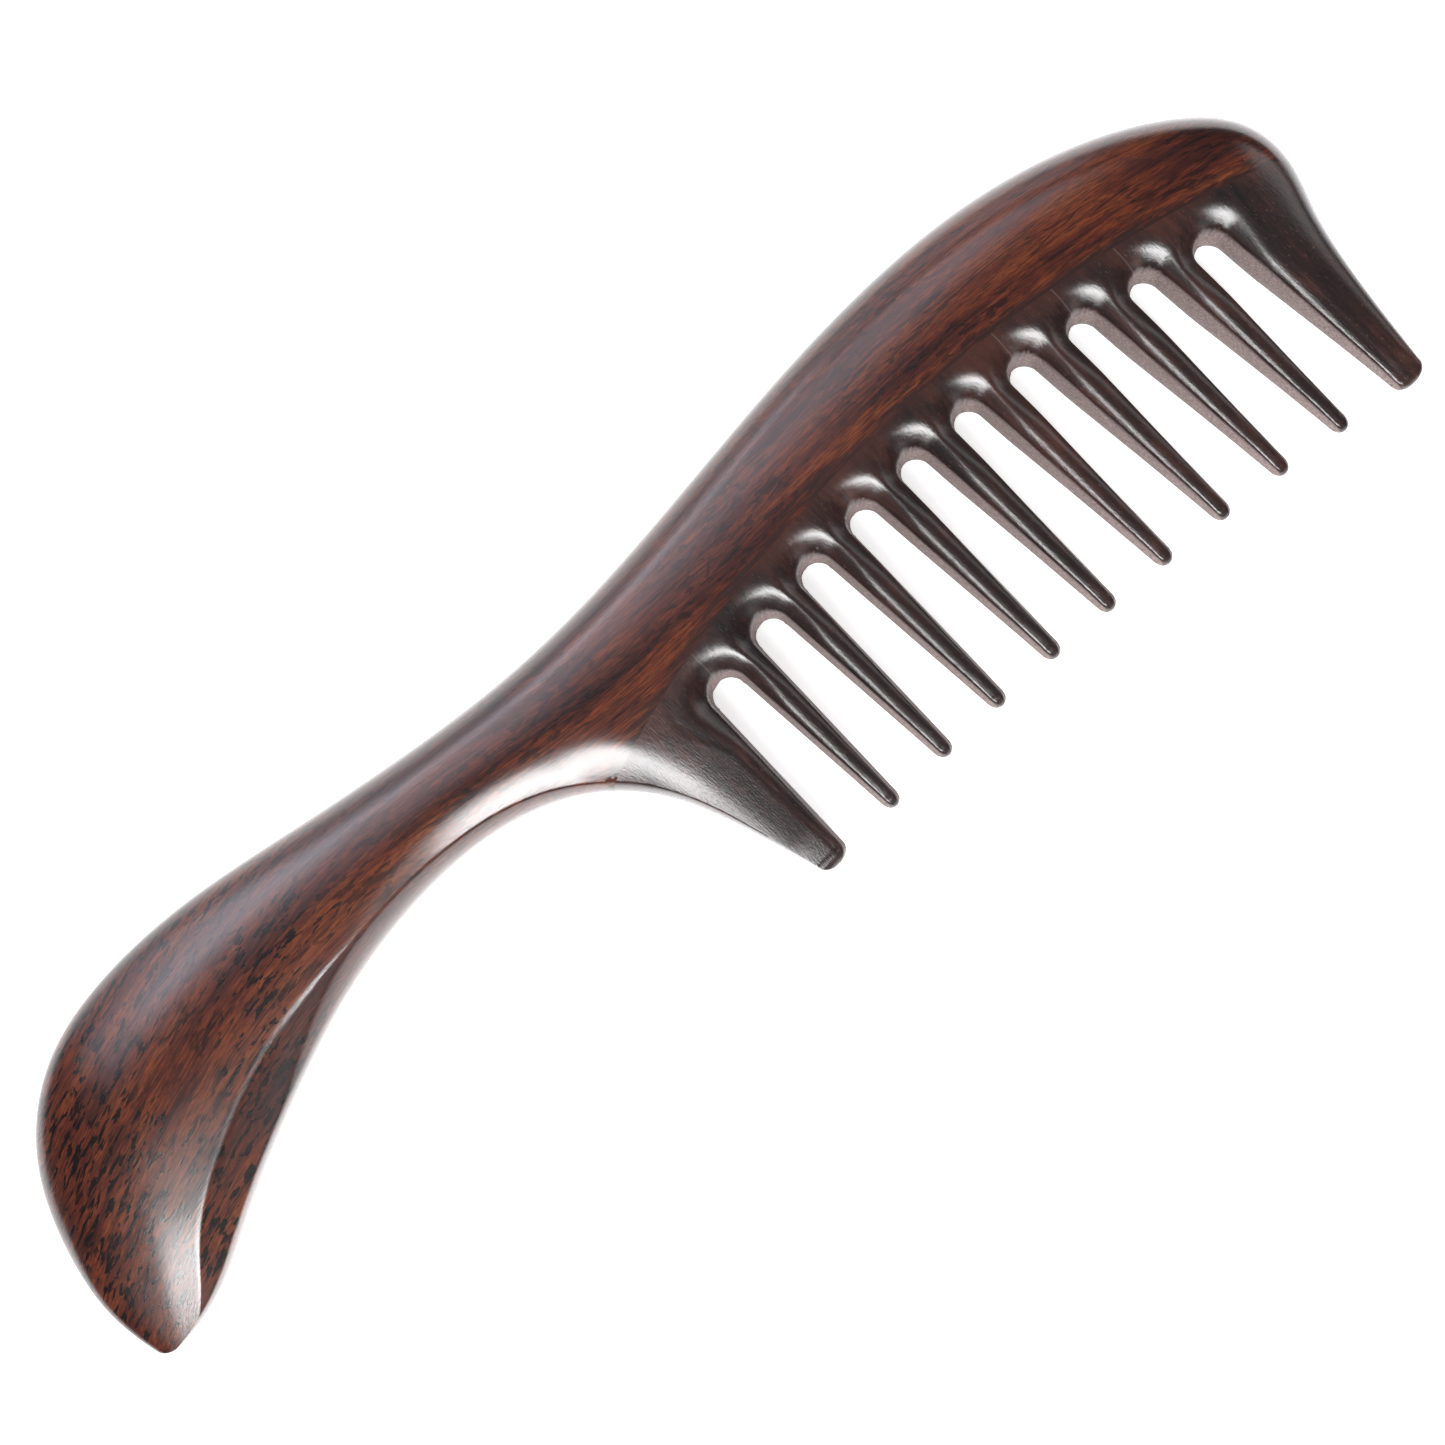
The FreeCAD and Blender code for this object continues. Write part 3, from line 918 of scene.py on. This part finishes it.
body = next(iter(frame["bodies"]))
names = ["first_end_tooth"] + ["slender_tooth_%d" % n for n in range(1, slender_teeth + 1)]
names.append("last_end_tooth")

spine_wood = red_brown_wood()
tooth_wood = dark_wood()

made = [(spine_piece("spine_and_handle_shape"), "spine_and_handle", spine_wood,
         "red_brown_wood")]
for index, name in enumerate(names):
    made.append((tooth_piece(name + "_shape", index), name, tooth_wood, "dark_wood"))
for piece, replaced, material, slot in made:
    piece.data.materials.append(material)
    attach(piece, body)
    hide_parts(replaced)

# ---------------------------------------------------------------------------- stage

# Camera: 290 mm from the comb, a little to the side of the teeth, turned so that the
# comb lies along the diagonal of the picture
camera_distance = 0.290
camera_aim = np.array([2.9, 18.7, 0.0])     # in mm, in the comb's axes
sensor = 36.0
picture_width = 0.16552                     # in metres, in the plane aimed at
side_tilt, tooth_tilt = math.radians(1.0), math.radians(7.0)
picture_turn = math.radians(39.5)
aim = Vector((camera_aim + comb_to_row) * mm)

back_to_camera = Vector((-math.tan(side_tilt), -math.tan(tooth_tilt), 1.0)).normalized()
flat_right = Vector((math.cos(picture_turn), -math.sin(picture_turn), 0.0))
picture_right = (flat_right - flat_right.dot(back_to_camera) * back_to_camera).normalized()
picture_up = back_to_camera.cross(picture_right)

camera_data = bpy.data.cameras.new("camera")
camera_data.sensor_width = sensor
camera_data.lens = sensor * camera_distance / picture_width
camera = bpy.data.objects.new("camera", camera_data)
bpy.context.scene.collection.objects.link(camera)
camera.location = aim + camera_distance * back_to_camera
turn = np.array([picture_right, picture_up, back_to_camera]).T
camera.rotation_mode = "QUATERNION"
camera.rotation_quaternion = Matrix(turn.tolist()).to_quaternion()
camera_data.clip_start = 0.01
camera_data.clip_end = 20.0
bpy.context.scene.camera = camera

light_distance = 1.2
white, cool = (1, 1, 1), (0.93, 0.90, 1.0)


def soft_box(name, right, up, width, depth, brightness, tint):
    """Area light over the comb, leaning from straight above by two angles, in degrees: to
    the right and to the top of the picture. width and depth are angles as well."""
    flat_up = Vector((0, 0, 1)).cross(flat_right)
    size = [2 * light_distance * math.tan(math.radians(v / 2)) for v in (width, depth)]
    light = bpy.data.lights.new(name, "AREA")
    light.shape = "RECTANGLE"
    light.size, light.size_y = size
    light.energy = brightness * math.pi * size[0] * size[1]
    light.color = tint
    obj = bpy.data.objects.new(name, light)
    bpy.context.scene.collection.objects.link(obj)
    lean_angle = math.radians(math.hypot(right, up))
    towards = (flat_right * right + flat_up * up).normalized() * math.sin(lean_angle)
    towards.z = math.cos(lean_angle)
    obj.location = aim + light_distance * towards
    across = (flat_right - flat_right.dot(towards) * towards).normalized()
    facing = np.array([across, towards.cross(across), towards]).T
    obj.rotation_mode = "QUATERNION"
    obj.rotation_quaternion = Matrix(facing.tolist()).to_quaternion()


# The key boxes shine on the handle's tip, the neck and the gap roots, the back boxes on
# the rolled back, and the rest along the edges
for box in (
    ("key_box", -1.5, -34.5, 29, 23, 17.0, white),
    ("key_right", 18, -38, 10, 16, 17.0, white),
    ("low_right_box", 52, -46, 24, 20, 0.8, white),
    ("key_edge_left", -12, -17, 9, 11, 5.5, white),
    ("key_edge_top", 1, -20, 16, 5, 5.0, white),
    ("side_box", 42, 32, 30, 26, 1.3, white),
    ("back_box", -32, 32, 52, 28, 2.0, cool),
    ("back_core", -42, 30, 8, 46, 3.2, cool),
    ("back_edge", -22, 14, 44, 10, 0.9, cool),
    ("low_back_box", -49, 57, 60, 26, 1.1, cool),
):
    soft_box(*box)

floor_mesh = bpy.data.meshes.new("floor")
floor_half = 3
corners = [(-1, -1), (1, -1), (1, 1), (-1, 1)]
floor_mesh.from_pydata([(x * floor_half, y * floor_half, 0) for x, y in corners], [],
                       [(0, 1, 2, 3)])
floor = bpy.data.objects.new("floor", floor_mesh)
bpy.context.scene.collection.objects.link(floor)
floor_material, _, floor_shader = new_material("floor")
for socket, value in (("Base Color", (0.86, 0.86, 0.86, 1)), ("Roughness", 0.8),
                      ("Emission Color", (1, 1, 1, 1)), ("Emission Strength", 0.72)):
    floor_shader.inputs[socket].default_value = value
floor_mesh.materials.append(floor_material)

world = bpy.data.worlds.new("studio")
bpy.context.scene.world = world
world.use_nodes = True
background = world.node_tree.nodes["Background"]
background.inputs["Color"].default_value = (0.05, 0.05, 0.052, 1)
background.inputs["Strength"].default_value = 1.0
bpy.context.scene.view_settings.view_transform = "Standard"
